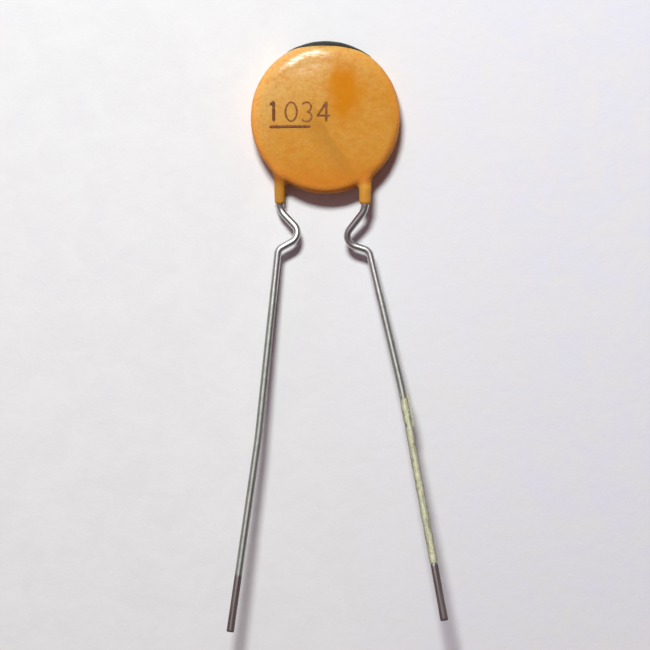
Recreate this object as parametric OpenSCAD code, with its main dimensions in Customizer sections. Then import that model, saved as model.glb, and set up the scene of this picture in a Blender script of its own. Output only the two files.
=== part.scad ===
// Radial-lead ceramic disc capacitor, lying on its back.
// A silvered ceramic disc, a wire soldered across each face, one coating over all of it.
// +Z is the printed face's outward side, and +Y runs from the wires to the painted rim.

/* [Ceramic disc] */
// Diameter of the ceramic disc
ceramic_d = 11.0; // [9.5:0.1:16]
// Thickness of the ceramic disc
ceramic_t = 1.0; // [0.6:0.05:2.4]
// Bare ceramic between a silver electrode's edge and the disc's edge
electrode_margin = 0.45; // [0.2:0.05:1]
// Thickness of each silver electrode
electrode_t = 0.03; // [0.02:0.005:0.08]

/* [Coating] */
// Coating outside the ceramic disc's edge
rim_cover = 1.2; // [1.1:0.05:2]
// Coating over each silver electrode
face_cover = 0.8; // [0.6:0.05:1.5]
// Coating over a wire on the disc's face, where it shows as a low ridge
ridge_cover = 0.12; // [0.08:0.01:0.4]
// Coating around a wire in the leg below the disc
leg_cover = 0.21; // [0.15:0.01:0.4]
// Length of a leg below the disc's lowest point
leg_drop = 0.85; // [0.5:0.05:3]
// Length of the thin end of a leg
leg_tip = 0.4; // [0.2:0.05:0.8]
// Extra radius of a leg where it leaves the disc
leg_flare = 0.15; // [0.05:0.05:0.2]
// How far each leg stands off the middle of the disc, towards its wire's face
leg_off = 0.6; // [0.2:0.05:0.6]

/* [Wires] */
// Diameter of the wire
wire_d = 0.65; // [0.5:0.01:0.8]
// Distance between the two legs
lead_pitch = 7.5; // [5:0.1:9]
// How far the pair of legs stands to the right of the disc's centre
lead_offset = -0.25; // [-0.6:0.05:0.6]
// Solder between a wire and the electrode under it
solder_film = 0.05; // [0.03:0.01:0.1]
// Half width of the solder along a wire
solder_r = 0.73; // [0.71:0.01:0.76]
// How far each wire runs on past the disc's centre
wire_overrun = 1.0; // [0.3:0.1:2]

/* [Left wire] */
// Depth of the left kink, from the leg's line to its corner
left_kink_in = 2.1; // [1:0.1:2.4]
// Drop of the left kink's inward slant
left_kink_fall = 2.2; // [2:0.05:4]
// Width of the left kink's outward slant
left_kink_out = 2.25; // [1.6:0.05:3]
// Drop of the left kink's outward slant
left_kink_slope = 1.25; // [0.5:0.05:2]
// Angle that the left wire spreads outwards, in degrees
left_spread = 6.0; // [1:0.5:20]
// Outward bow of the left wire halfway down, in degrees
left_bow = 2.2; // [1:0.1:5]
// Length of the left wire above and below its bow
left_runs = [16.65, 17.3]; // [5:0.1:30]
// Angle that the left wire rises from the surface that the part lies on, in degrees
left_rise = 4.6; // [1:0.1:9]

/* [Right wire] */
// Depth of the right kink, from the leg's line to its corner
right_kink_in = 2.2; // [1:0.1:2.4]
// Drop of the right kink's inward slant
right_kink_fall = 2.75; // [2:0.05:4]
// Width of the right kink's outward slant
right_kink_out = 2.55; // [1.6:0.05:3]
// Drop of the right kink's outward slant
right_kink_slope = 0.8; // [0.5:0.05:2]
// Angle that the right wire spreads outwards, in degrees
right_spread = 13.3; // [1:0.5:20]
// Outward bow of the right wire halfway down, in degrees
right_bow = -2.9; // [-5:0.1:-1]
// Length of the right wire above and below its bow
right_runs = [12.5, 20.8]; // [5:0.1:30]
// Angle that the right wire rises from the surface that the part lies on, in degrees
right_rise = 6.0; // [1:0.1:9]

/* [Bends] */
// Bend radius where a wire turns from the disc's middle to its leg
cross_bend_r = 2.0; // [1:0.1:3]
// Bend radius where a wire steps down to its leg
step_bend_r = 0.5; // [0.4:0.05:0.6]
// Bend radius where a kink begins
kink_start_r = 1.5; // [0.8:0.1:1.8]
// Bend radius of a kink's corner
kink_r = 0.95; // [0.6:0.05:1.1]
// Bend radius where a kink ends
kink_end_r = 0.75; // [0.5:0.05:1]
// Bend radius of a wire's bow
bow_r = 40; // [20:5:80]

/* [Paint mark] */
// Thickness of the paint on the rim
mark_t = 0.05; // [0.03:0.01:0.1]
// Depth of the paint dip, from the rim inwards
mark_depth = 0.9; // [0.4:0.05:2]
// Lean of the paint dip towards the back, in degrees
mark_lean = 28; // [0:1:40]
// Turn of the paint mark along the rim, in degrees
mark_turn = -3; // [-20:1:20]

/* [Hidden] */
$fn = 40;
LEFT = -1;
RIGHT = 1;
FRONT = 1;
BACK = -1;
// Wire between the ceramic's edge and the point where it starts to step down
step_clearance = 0.3;
// Length over which a wire steps down to its leg's height
step_run = 0.8;
// Inward and upward distance from a leg's line to the end of a wire's slanting stretch
slant_in = 0.75;
slant_up = 1.3;
// Bare wire between a leg's end and the corner where the kink begins
kink_gap = 0.6;
// Thickness that a leg's coating ends with
leg_lip = 0.05;
// Depth inside the rim at which a leg's flare begins
flare_root = 1.0;
// Solder beyond a wire's end
solder_overrun = 0.3;

wire_r = wire_d / 2;
ceramic_r = ceramic_d / 2;
coat_r = ceramic_r + rim_cover;
electrode_z = ceramic_t / 2 + electrode_t;
wire_z = electrode_z + solder_film + wire_r;
half_t = electrode_z + face_cover;
ridge_r = wire_r + ridge_cover;
leg_r = wire_r + leg_cover;
crest_z = max(half_t, wire_z + ridge_r);
// Larger than the whole coated disc
reach = 4 * coat_r;

// ---- Where each wire goes: corner points from the disc's middle to the free end ----

function unit(v) = v / norm(v);
function leg_x(side) = side * lead_pitch / 2 + lead_offset;
function edge_y(x, r) = -sqrt(r * r - x * x);
function leg_end_y() = -coat_r - leg_drop;
function step_top_y(side) = edge_y(leg_x(side), ceramic_r) - step_clearance;

// A run of wire that spreads outwards and rises by the given angles
function run(side, length, spread, rise) = length * [side * sin(spread) * cos(rise),
    -cos(spread) * cos(rise), sin(rise)];

// The stretch inside the coating: across the face, round to the leg, and down to the leg's height
function inner_corners(side, face) = let (
        x = leg_x(side),
        slant = [x - side * slant_in, edge_y(x, ceramic_r) + slant_up],
        inner_end = -wire_overrun * unit(slant))
    [[inner_end.x, inner_end.y, face * wire_z],
     [slant.x, slant.y, face * wire_z],
     [x, step_top_y(side), face * wire_z],
     [x, step_top_y(side) - step_run, face * leg_off]];

// The stretch outside: kink inwards and back to mid-thickness, kink outwards, then two long runs
function outer_corners(side, face, kink_in, fall, kink_out, slope, spread, bow, runs, rise) = let (
        start = [leg_x(side), leg_end_y() - kink_gap, face * leg_off],
        corner = start + [-side * kink_in, -fall, -face * leg_off],
        heel = corner + [side * kink_out, -slope, 0],
        middle = heel + run(side, runs[0], spread, rise))
    [start, corner, heel, middle, middle + run(side, runs[1], spread + bow, rise)];

left_inner = inner_corners(LEFT, BACK);
right_inner = inner_corners(RIGHT, FRONT);
left_outer = outer_corners(LEFT, BACK, left_kink_in, left_kink_fall, left_kink_out,
    left_kink_slope, left_spread, left_bow, left_runs, left_rise);
right_outer = outer_corners(RIGHT, FRONT, right_kink_in, right_kink_fall, right_kink_out,
    right_kink_slope, right_spread, right_bow, right_runs, right_rise);

inner_radii = [0, cross_bend_r, step_bend_r, step_bend_r];
outer_radii = [kink_start_r, kink_r, kink_end_r, bow_r, 0];
lead_radii = concat(inner_radii, outer_radii);
// Sides of a bent wire's section, and the largest angle between its rings round a bend
wire_sides = 16;
bend_step = 15;
// A bent wire's flats stand this much further out than the round end that comes out of it
wire_swell = 1.01;
// Length of the round end inside the bent part
end_overlap = 0.3;

// ---- Bent wire: rings of points along straight runs and round bends ----

function way(p, i) = unit(p[i + 1] - p[i]);
function bend_angle(p, i) = acos(way(p, i - 1) * way(p, i));
function bend_axis(p, i) = unit(cross(way(p, i - 1), way(p, i)));
function setback(p, radii, i) = radii[i] * tan(bend_angle(p, i) / 2);
function turned(v, axis, angle) = v * cos(angle) + cross(axis, v) * sin(angle)
    + axis * (axis * v) * (1 - cos(angle));

// Ring centres and two directions across the wire, round corner i and on to the last corner
function frames(p, radii, across, i = 1) = i > len(p) - 2
    ? [[p[len(p) - 1], across, cross(way(p, len(p) - 2), across)]]
    : let (
        axis = bend_axis(p, i),
        angle = bend_angle(p, i),
        start = p[i] - setback(p, radii, i) * way(p, i - 1),
        hub = start + radii[i] * cross(axis, way(p, i - 1)),
        steps = ceil(angle / bend_step))
    concat(
        [for (j = [0:steps]) let (
                a = angle * j / steps,
                side = turned(across, axis, a))
            [hub + turned(start - hub, axis, a), side, cross(turned(way(p, i - 1), axis, a), side)]],
        frames(p, radii, turned(across, axis, angle), i + 1));

function ring(frame, r) = [for (k = [0:wire_sides - 1]) let (a = 360 * k / wire_sides)
    frame[0] + r * (cos(a) * frame[1] + sin(a) * frame[2])];

// Wire that follows the corners, with its flats just outside the true radius
module bent_wire(p, radii) {
    first_across = bend_axis(p, 1);
    all = concat([[p[0], first_across, cross(way(p, 0), first_across)]],
        frames(p, radii, first_across));
    n = wire_sides;
    last = len(all) - 1;
    polyhedron(
        points = [for (f = all) each ring(f, wire_r * wire_swell / cos(180 / n))],
        faces = concat(
            [[for (k = [0:n - 1]) k]],
            [for (i = [0:last - 1], k = [0:n - 1]) let (a = i * n + k, b = i * n + (k + 1) % n)
                each [[a, b + n, b], [a, a + n, b + n]]],
            [[for (k = [n - 1:-1:0]) last * n + k]]));
}

// ---- Places the finished part: lowest crest on z = 0, middle of its length and width on the origin ----

low_x = min(-coat_r, left_outer[4].x - wire_r);
high_x = max(coat_r, right_outer[4].x + wire_r);
low_y = min(left_outer[4].y, right_outer[4].y);
high_y = coat_r + mark_t;

module placed() {
    translate([-(low_x + high_x) / 2, -(low_y + high_y) / 2, crest_z])
        children();
}

// ---- Pieces inside the coating ----

module ceramic_blank() {
    translate([0, 0, -ceramic_t / 2])
        cylinder(d = ceramic_d, h = ceramic_t);
}

module electrode_blank(face) {
    bottom = face == FRONT ? ceramic_t / 2 : -electrode_z;
    translate([0, 0, bottom])
        cylinder(r = ceramic_r - electrode_margin, h = electrode_t);
}

// The silvered disc, whole
module core_blank() {
    electrode_r = ceramic_r - electrode_margin;
    rotate_extrude()
        polygon([[0, -electrode_z], [electrode_r, -electrode_z], [electrode_r, -ceramic_t / 2],
            [ceramic_r, -ceramic_t / 2], [ceramic_r, ceramic_t / 2], [electrode_r, ceramic_t / 2],
            [electrode_r, electrode_z], [0, electrode_z]]);
}

// Bead of solder over a wire's slanting stretch, flat on the electrode
module solder_bead(inner, face) {
    lift = [0, 0, face * (electrode_z - wire_z)];
    along = way(inner, 0);
    length = norm(inner[1] - inner[0]) - setback(inner, inner_radii, 1) + solder_overrun;
    translate(inner[0] + lift - solder_overrun * along)
        rotate([0, 90, atan2(along.y, along.x)])
            capsule(solder_r, length);
}

// The half of the bead that stands on the silver
module solder_blank(inner, face) {
    intersection() {
        solder_bead(inner, face);
        translate([-reach / 2, -reach / 2, face == FRONT ? electrode_z : -electrode_z - reach])
            cube(reach);
    }
}

// The part of a wire that the solder and the coating close round
module buried_wire(inner, outer) {
    bent_wire(concat(inner, [outer[0]]), lead_radii);
}

// A whole wire: bent from its inner end to its bow, then straight and round to its free end
module lead_blank(inner, outer) {
    p = concat(inner, outer);
    bow_end = p[7] + setback(p, lead_radii, 7) * way(p, 7);
    bent_wire([for (i = [0:8]) i < 8 ? p[i] : bow_end], lead_radii);
    along_z(bow_end - end_overlap * way(p, 7), p[8])
        cylinder(r = wire_r, h = norm(p[8] - bow_end) + end_overlap);
}

// Turns +Z from one point towards another
module along_z(from, to) {
    d = to - from;
    translate(from)
        rotate([0, acos(d.z / norm(d)), atan2(d.y, d.x)])
            children();
}

module ceramic_disc() {
    color("gainsboro") placed() ceramic_blank();
}

module electrode_front() {
    color("silver") placed() electrode_blank(FRONT);
}

module electrode_back() {
    color("silver") placed() electrode_blank(BACK);
}

module solder_front() {
    color("darkgray") placed() difference() {
        solder_blank(right_inner, FRONT);
        buried_wire(right_inner, right_outer);
    }
}

module solder_back() {
    color("darkgray") placed() difference() {
        solder_blank(left_inner, BACK);
        buried_wire(left_inner, left_outer);
    }
}

module lead_left() {
    color("lightgray") placed() lead_blank(left_inner, left_outer);
}

module lead_right() {
    color("lightgray") placed() lead_blank(right_inner, right_outer);
}

// ---- Coating and paint ----

// Disc with a full round rim
module round_rim_disc(r, half) {
    rotate_extrude() {
        translate([0, -half])
            square([r - half, 2 * half]);
        intersection() {
            translate([r - half, 0])
                circle(r = half);
            translate([r - half, -half])
                square([half, 2 * half]);
        }
    }
}

// Bar with ball ends along +Z, from the origin to the given length
module capsule(r, length) {
    rotate_extrude() {
        square([r, length]);
        for (z = [0, length])
            intersection() {
                translate([0, z])
                    circle(r = r);
                translate([0, z - r])
                    square([r, 2 * r]);
            }
    }
}

// Ridge of coating over a wire's slanting stretch
module ridge(inner) {
    along = way(inner, 0);
    translate(inner[0])
        rotate([0, 90, atan2(along.y, along.x)])
            capsule(ridge_r, norm(inner[1] - inner[0]));
}

// Outline of a leg along its line: hollow flare from inside the rim, straight, rounded end on the wire
function leg_outline(top, straight, end) = concat([[0, top]],
    [for (a = [0:15:90]) [leg_r + leg_flare * (1 - sin(a)), top + (straight - top) * (1 - cos(a))]],
    [for (a = [0:15:90])
        [wire_r + leg_lip + (leg_cover - leg_lip) * cos(a), end - leg_tip * (1 - sin(a))]],
    [[0, end]]);

module leg(side, face) {
    x = abs(leg_x(side));
    root = -edge_y(x, coat_r - flare_root);
    straight = -edge_y(x - leg_r, coat_r) + leg_flare;
    translate([leg_x(side), 0, face * leg_off])
        rotate([90, 0, 0])
            rotate_extrude()
                polygon(leg_outline(root, straight, -leg_end_y()));
}

module coated_blank() {
    round_rim_disc(coat_r, half_t);
    ridge(right_inner);
    ridge(left_inner);
    leg(RIGHT, FRONT);
    leg(LEFT, BACK);
}

module coating() {
    color("darkorange") placed() difference() {
        coated_blank();
        core_blank();
        solder_bead(right_inner, FRONT);
        solder_bead(left_inner, BACK);
        buried_wire(right_inner, right_outer);
        buried_wire(left_inner, left_outer);
    }
}

// Film of paint where the rim was dipped
module tip_mark() {
    color([0.08, 0.07, 0.07]) placed() difference() {
        intersection() {
            round_rim_disc(coat_r + mark_t, half_t + mark_t);
            rotate([0, 0, mark_turn])
                translate([0, coat_r - mark_depth, 0])
                    rotate([-mark_lean, 0, 0])
                        translate([-reach / 2, 0, -reach / 2])
                            cube(reach);
        }
        round_rim_disc(coat_r, half_t);
    }
}

ceramic_disc();
electrode_front();
electrode_back();
solder_front();
solder_back();
lead_left();
lead_right();
coating();
tip_mark();
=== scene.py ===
"""Radial-lead ceramic disc capacitor, dressed over its CAD frame.

Local sizes are in millimetres from the middle of the ceramic disc: +X right, +Y towards the painted rim and
+Z out of the printed face. Meshes are turned into metres in the shared frame when they are made.
"""

import logging
import math
from collections.abc import Callable, Sequence
from dataclasses import dataclass, field
from enum import Enum
from functools import reduce
from typing import NamedTuple

import bpy
import numpy as np
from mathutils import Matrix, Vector


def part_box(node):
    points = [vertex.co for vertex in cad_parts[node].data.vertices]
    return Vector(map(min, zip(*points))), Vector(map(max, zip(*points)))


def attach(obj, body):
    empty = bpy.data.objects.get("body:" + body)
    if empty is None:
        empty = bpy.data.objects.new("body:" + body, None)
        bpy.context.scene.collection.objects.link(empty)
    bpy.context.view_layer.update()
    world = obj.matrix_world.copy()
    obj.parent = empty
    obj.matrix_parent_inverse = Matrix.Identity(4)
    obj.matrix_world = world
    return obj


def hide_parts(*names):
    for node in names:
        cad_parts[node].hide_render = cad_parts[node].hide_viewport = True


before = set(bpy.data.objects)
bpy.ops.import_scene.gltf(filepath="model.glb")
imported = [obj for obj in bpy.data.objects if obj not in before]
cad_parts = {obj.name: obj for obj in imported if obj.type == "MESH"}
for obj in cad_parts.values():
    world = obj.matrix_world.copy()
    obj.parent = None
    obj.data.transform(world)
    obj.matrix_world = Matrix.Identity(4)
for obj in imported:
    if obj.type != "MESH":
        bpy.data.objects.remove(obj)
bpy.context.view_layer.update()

LOG = logging.getLogger("disc_capacitor")
METRES = 0.001
SEED = 11

Socket = bpy.types.NodeSocket
Value = float | int | str | bool | Sequence[float] | Socket | bpy.types.ID
Point = tuple[float, float, float]
Colour = tuple[float, float, float]
Flat = tuple[float, float]
Distance = Callable[[np.ndarray], np.ndarray]


class Side(Enum):
    """Which of the two wires, by the sign of its X."""

    LEFT = -1
    RIGHT = 1


class Face(Enum):
    """Which face of the disc, by the sign of its Z."""

    FRONT = 1
    BACK = -1


class Span(NamedTuple):
    """A range of values, and the range that it is mapped onto."""

    low: float
    high: float
    to_low: float = 0.0
    to_high: float = 1.0


# ---- Places and meshes ----


def disc_centre() -> np.ndarray:
    """Middle of the ceramic disc in the shared frame, in millimetres."""
    low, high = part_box("ceramic_disc")
    return np.array((low + high) / 2) / METRES


def add_mesh(name: str, points: np.ndarray, faces: Sequence[Sequence[int]]) -> bpy.types.Object:
    """Makes a smooth object at the frame's origin from local points.

    Args:
        name: Name of the object.
        points: Local points in millimetres, one row each.
        faces: Corner indices of each face, counter-clockwise from outside.

    Returns:
        The new object, linked to the scene.
    """
    mesh = bpy.data.meshes.new(name)
    placed = (np.asarray(points, float) + disc_centre()) * METRES
    mesh.from_pydata(placed.tolist(), [], [list(map(int, f)) for f in faces])
    mesh.validate()
    mesh.polygons.foreach_set("use_smooth", [True] * len(mesh.polygons))
    mesh.update()
    return link(name, mesh)


def link(name: str, data: bpy.types.ID) -> bpy.types.Object:
    """Puts a mesh, a lamp or a lens into the scene.

    Args:
        name: Name of the object.
        data: What it holds.

    Returns:
        The new object.
    """
    made = bpy.data.objects.new(name, data)
    bpy.context.scene.collection.objects.link(made)
    return made


def store(mesh: bpy.types.Mesh, name: str, values: np.ndarray) -> None:
    """Writes one number per point of a mesh, as an attribute with a name."""
    attribute = mesh.attributes.new(name, "FLOAT", "POINT")
    attribute.data.foreach_set("value", np.asarray(values, np.float32))


def quads(grid: np.ndarray) -> np.ndarray:
    """Faces between the points of a grid, from the index of each point by row and column."""
    return np.stack([grid[:-1, :-1], grid[1:, :-1], grid[1:, 1:], grid[:-1, 1:]], -1).reshape(-1, 4)


def slab_faces(rows: int, columns: int) -> np.ndarray:
    """Faces of a closed slab whose top comes first and whose underside has the same grid of points.

    Args:
        rows: Rows of the grid.
        columns: Points in each row.

    Returns:
        The faces, all on the same side.
    """
    top, under = np.arange(2 * rows * columns).reshape(2, rows, columns)
    walls = [quads(np.column_stack([top[part], under[part]]))[:, ::step] for part, step in (
        (np.s_[:, 0], -1), (np.s_[:, -1], 1), (np.s_[0], 1), (np.s_[-1], -1))]
    return np.concatenate([quads(top), quads(under)[:, ::-1], *walls])


def outward(piece: bpy.types.Object) -> bpy.types.Object:
    """Turns a closed mesh right side out if its volume is negative.

    Args:
        piece: The object.

    Returns:
        The same object.
    """
    mesh = piece.data
    mesh.calc_loop_triangles()
    spots = np.array([v.co for v in mesh.vertices])
    corners = np.array([t.vertices for t in mesh.loop_triangles])
    a, b, c = (spots[corners[:, i]] - spots.mean(0) for i in range(3))
    if (a * np.cross(b, c)).sum() < 0:
        mesh.flip_normals()
        LOG.info("%s: turned right side out", piece.name)
    return piece


def seat(piece: bpy.types.Object, slot: str, finish: bpy.types.Material, *nodes: str) -> None:
    """Gives a piece its finish and its body, and hides the CAD nodes that it stands for.

    Args:
        piece: The finished piece.
        slot: Name of a material slot, not used.
        finish: Its material.
        *nodes: CAD nodes that it replaces.
    """
    piece.data.materials.clear()
    piece.data.materials.append(finish)
    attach(piece, "root")
    if nodes:
        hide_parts(*nodes)
    LOG.info("%s: %d faces, finish %s", piece.name, len(piece.data.polygons), finish.name)


def arc_lengths(line: np.ndarray) -> np.ndarray:
    """Length along a line at each of its points, from zero."""
    return np.concatenate([[0], np.cumsum(np.linalg.norm(np.diff(line, axis=0), axis=1))])


def even_points(corners: np.ndarray, step: float) -> np.ndarray:
    """Points at an even distance along a line.

    Args:
        corners: Points of the line.
        step: Largest distance between points.

    Returns:
        The points, both ends among them.
    """
    reach = arc_lengths(corners)
    count = max(2, math.ceil(reach[-1] / step) + 1)
    at = np.linspace(0, reach[-1], count)
    return np.column_stack([np.interp(at, reach, corners[:, k]) for k in range(corners.shape[1])])


# ---- Node trees ----


class Graph:
    """A node tree that grows by calls, each of which gives the socket or node it made."""

    def __init__(self, tree: bpy.types.NodeTree) -> None:
        """Starts on a tree."""
        self.tree = tree

    def node(self, kind: str, inputs: dict[str | int, Value] | None = None, **settings: Value) -> bpy.types.Node:
        """Adds a node.

        Args:
            kind: Blender's name of the node type.
            inputs: Values or sockets for its inputs, by name or number.
            **settings: Its own properties.

        Returns:
            The new node.
        """
        made = self.tree.nodes.new(kind)
        for name, value in settings.items():
            setattr(made, name, value)
        for key, value in (inputs or {}).items():
            self.feed(made.inputs[key], value)
        return made

    def get(self, kind: str, inputs: dict[str | int, Value] | None = None, **settings: Value) -> Socket:
        """Adds a node and gives its first output."""
        return self.node(kind, inputs, **settings).outputs[0]

    def feed(self, socket: Socket, value: Value) -> None:
        """Links a socket into an input, or sets the input to a value.

        Args:
            socket: The input.
            value: A socket to link, or a plain value.
        """
        if isinstance(value, Socket):
            self.tree.links.new(value, socket)
        else:
            socket.default_value = value

    def math(self, operation: str, *values: Value, clamp: bool = False) -> Socket:
        """Adds a Math node for one to three values and gives its result, kept within 0 to 1 if asked."""
        return self.get("ShaderNodeMath", dict(enumerate(values)), operation=operation, use_clamp=clamp)

    def product(self, *values: Value) -> Socket:
        """Multiplies values with one another."""
        return reduce(lambda a, b: self.math("MULTIPLY", a, b), values)

    def total(self, *values: Value) -> Socket:
        """Adds values up."""
        return reduce(lambda a, b: self.math("ADD", a, b), values)

    def centred(self, value: Value) -> Socket:
        """Turns a share around one half into a value around zero."""
        return self.math("SUBTRACT", value, 0.5)

    def spread(self, value: Value, span: Sequence[Value]) -> Socket:
        """Maps a range of values smoothly onto another, held at its ends: a Span, or its first two values."""
        return self.get("ShaderNodeMapRange", dict(enumerate([value, *Span(*span)])), interpolation_type="SMOOTHSTEP")

    def blend(self, share: Value, first: Value, second: Value) -> Socket:
        """Mixes two colours by the share of the second, 0 to 1."""
        a, b = (c if isinstance(c, Socket) else (*c, 1.0) for c in (first, second))
        return self.node("ShaderNodeMix", {0: share, 6: a, 7: b}, data_type="RGBA").outputs[2]

    def noise(self, vector: Value, scale: Value, detail: float = 2.0, roughness: float = 0.5,
              distortion: Value = 0.0) -> Socket:
        """Adds a noise texture and gives its value, 0 to 1."""
        return self.get("ShaderNodeTexNoise", {"Vector": vector, "Scale": scale, "Detail": detail,
                                               "Roughness": roughness, "Distortion": distortion})

    def mapping(self, vector: Socket, shift: Point = (0, 0, 0), turn: float = 0.0,
                stretch: Point = (1, 1, 1)) -> Socket:
        """Scales, turns about Z in degrees and shifts the place where a pattern is read."""
        return self.get("ShaderNodeMapping", {"Vector": vector, "Location": shift, "Scale": stretch,
                                              "Rotation": (0, 0, math.radians(turn))})

    def axes(self, vector: Socket) -> list[Socket]:
        """Splits a place into its X, Y and Z."""
        return list(self.node("ShaderNodeSeparateXYZ", {0: vector}).outputs)

    def scaled(self, vector: Socket, factor: Value) -> Socket:
        """Makes a vector longer or shorter."""
        return self.get("ShaderNodeVectorMath", {0: vector, "Scale": factor}, operation="SCALE")

    def bump(self, height: Socket, depth: float, strength: float, normal: Socket | None = None) -> Socket:
        """Adds a Bump node, whose depth in millimetres is that of a height of 1, on top of a normal if one is given."""
        start = {} if normal is None else {"Normal": normal}
        return self.get("ShaderNodeBump", {"Height": height, "Distance": depth * METRES, "Strength": strength, **start})

    def attribute(self, name: str, output: str = "Fac") -> Socket:
        """Reads an attribute of the mesh."""
        return self.node("ShaderNodeAttribute", attribute_name=name).outputs[output]

    def group(self, tree: bpy.types.NodeTree, **inputs: Value) -> list[Socket]:
        """Places a node group.

        Args:
            tree: The group.
            **inputs: Its values.

        Returns:
            Its outputs.
        """
        made = self.node("ShaderNodeGroup", node_tree=tree)
        for name, value in inputs.items():
            self.feed(made.inputs[name], value)
        return list(made.outputs)


def start_group(name: str, vector: str, numbers: Sequence[str], outputs: Sequence[str]
                ) -> tuple[Graph, bpy.types.NodeOutputs]:
    """Starts a shader node group.

    Args:
        name: Name of the group.
        vector: Name of the vector that goes in first.
        numbers: Names of the numbers that go in after it.
        outputs: Names of its outputs, all numbers.

    Returns:
        Its graph and the sockets of its inputs.
    """
    tree = bpy.data.node_groups.new(name, "ShaderNodeTree")
    for key, kind in {vector: "NodeSocketVector", **dict.fromkeys(numbers, "NodeSocketFloat")}.items():
        tree.interface.new_socket(key, in_out="INPUT", socket_type=kind)
    for key in outputs:
        tree.interface.new_socket(key, in_out="OUTPUT", socket_type="NodeSocketFloat")
    graph = Graph(tree)
    return graph, graph.node("NodeGroupInput").outputs


class Effects:
    """Shader groups that several finishes share."""

    def __init__(self) -> None:
        """Builds each group once."""
        self.clouds = self.make_clouds()
        self.relief = self.make_relief()
        self.flecks = self.make_flecks()
        self.drawn = self.make_drawn()

    def make_clouds(self) -> bpy.types.NodeTree:
        """Soft uneven patches.

        Returns:
            A group with the output Mask.
        """
        g, given = start_group("soft_clouds", "Place", ("Scale", "Stir", "Low", "High"), ("Mask",))
        patches = g.noise(given["Place"], given["Scale"], detail=3.0, roughness=0.55, distortion=given["Stir"])
        g.node("NodeGroupOutput", {"Mask": g.spread(patches, (given["Low"], given["High"]))})
        return g.tree

    def make_relief(self) -> bpy.types.NodeTree:
        """Fine uneven height in two layers.

        Returns:
            A group with the output Height.
        """
        g, given = start_group("fine_relief", "Place", ("Broad", "Fine", "Share"), ("Height",))
        broad = g.noise(given["Place"], given["Broad"])
        fine = g.noise(given["Place"], given["Fine"], detail=3.0, roughness=0.6)
        kept = g.math("SUBTRACT", 1.0, given["Share"])
        g.node("NodeGroupOutput", {"Height": g.math("MULTIPLY_ADD", fine, given["Share"], g.product(broad, kept))})
        return g.tree

    def make_flecks(self, wander: float = 4.0, stir: float = 0.25) -> bpy.types.NodeTree:
        """Small scattered specks, of which only a share shows.

        Args:
            wander: Frequency of the noise that makes their outlines uneven.
            stir: Strength of that noise.

        Returns:
            A group with the output Mask.
        """
        g, given = start_group("scattered_flecks", "Place", ("Scale", "Size", "Share"), ("Mask",))
        noise = g.node("ShaderNodeTexNoise", {"Vector": given["Place"], "Scale": wander, "Detail": 1.0})
        small = g.scaled(noise.outputs["Color"], stir)
        stirred = g.get("ShaderNodeVectorMath", {0: given["Place"], 1: small}, operation="ADD")
        cells = g.node("ShaderNodeTexVoronoi", {"Vector": stirred, "Scale": given["Scale"]}).outputs
        chance = g.get("ShaderNodeSeparateColor", {0: cells["Color"]})
        rare = g.math("LESS_THAN", chance, given["Share"])
        spot = g.spread(cells["Distance"], (given["Size"], g.product(given["Size"], 0.5)))
        g.node("NodeGroupOutput", {"Mask": g.product(spot, rare)})
        return g.tree

    def make_drawn(self, fine: float = 1.3) -> bpy.types.NodeTree:
        """Lines that run along a wire, from the direction around it and the length along it.

        Args:
            fine: Frequency of the lines, and of the patches along the wire.

        Returns:
            A group with the outputs Lines and Patches.
        """
        g, given = start_group("lines_along_wire", "Around", ("Along", "Count", "Stretch"), ("Lines", "Patches"))
        around = g.axes(given["Around"])[:2]
        spots = [[*(g.product(way, given["Count"]) for way in around), g.product(given["Along"], given["Stretch"])],
                 [*around, g.product(given["Along"], fine)]]
        lined, near = (g.get("ShaderNodeCombineXYZ", dict(enumerate(parts))) for parts in spots)
        lines = g.noise(lined, fine, detail=3.0, roughness=0.6)
        patches = g.noise(near, scale=1.0, detail=4.0, roughness=0.6, distortion=0.4)
        g.node("NodeGroupOutput", {"Lines": lines, "Patches": patches})
        return g.tree


# ---- Finishes ----


@dataclass(frozen=True)
class Clouds:
    """Soft uneven patches: their frequency, how they are stirred, the noise between which they show, and a share."""

    scale: float
    stir: float
    low: float
    high: float
    share: float = 1.0
    shift: Point | None = None
    stretch: Point = (1, 1, 1)


@dataclass(frozen=True)
class Flecks:
    """Scattered specks: their frequency and size, how many of them show, and how strongly."""

    scale: float
    size: float
    chance: float
    share: float = 1.0
    shift: Point | None = None
    stretch: Point = (1, 1, 1)


@dataclass(frozen=True)
class Relief:
    """Fine relief: two frequencies, the finer one's share, its depth in millimetres and its strength."""

    broad: float
    fine: float
    share: float
    depth: float
    strength: float


def linear(red: int, green: int, blue: int) -> Colour:
    """Linear colour for a display colour of 0 to 255 in red, green and blue."""
    parts = [c / 255 for c in (red, green, blue)]
    return tuple(p / 12.92 if p <= 0.04045 else ((p + 0.055) / 1.055) ** 2.4 for p in parts)


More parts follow.
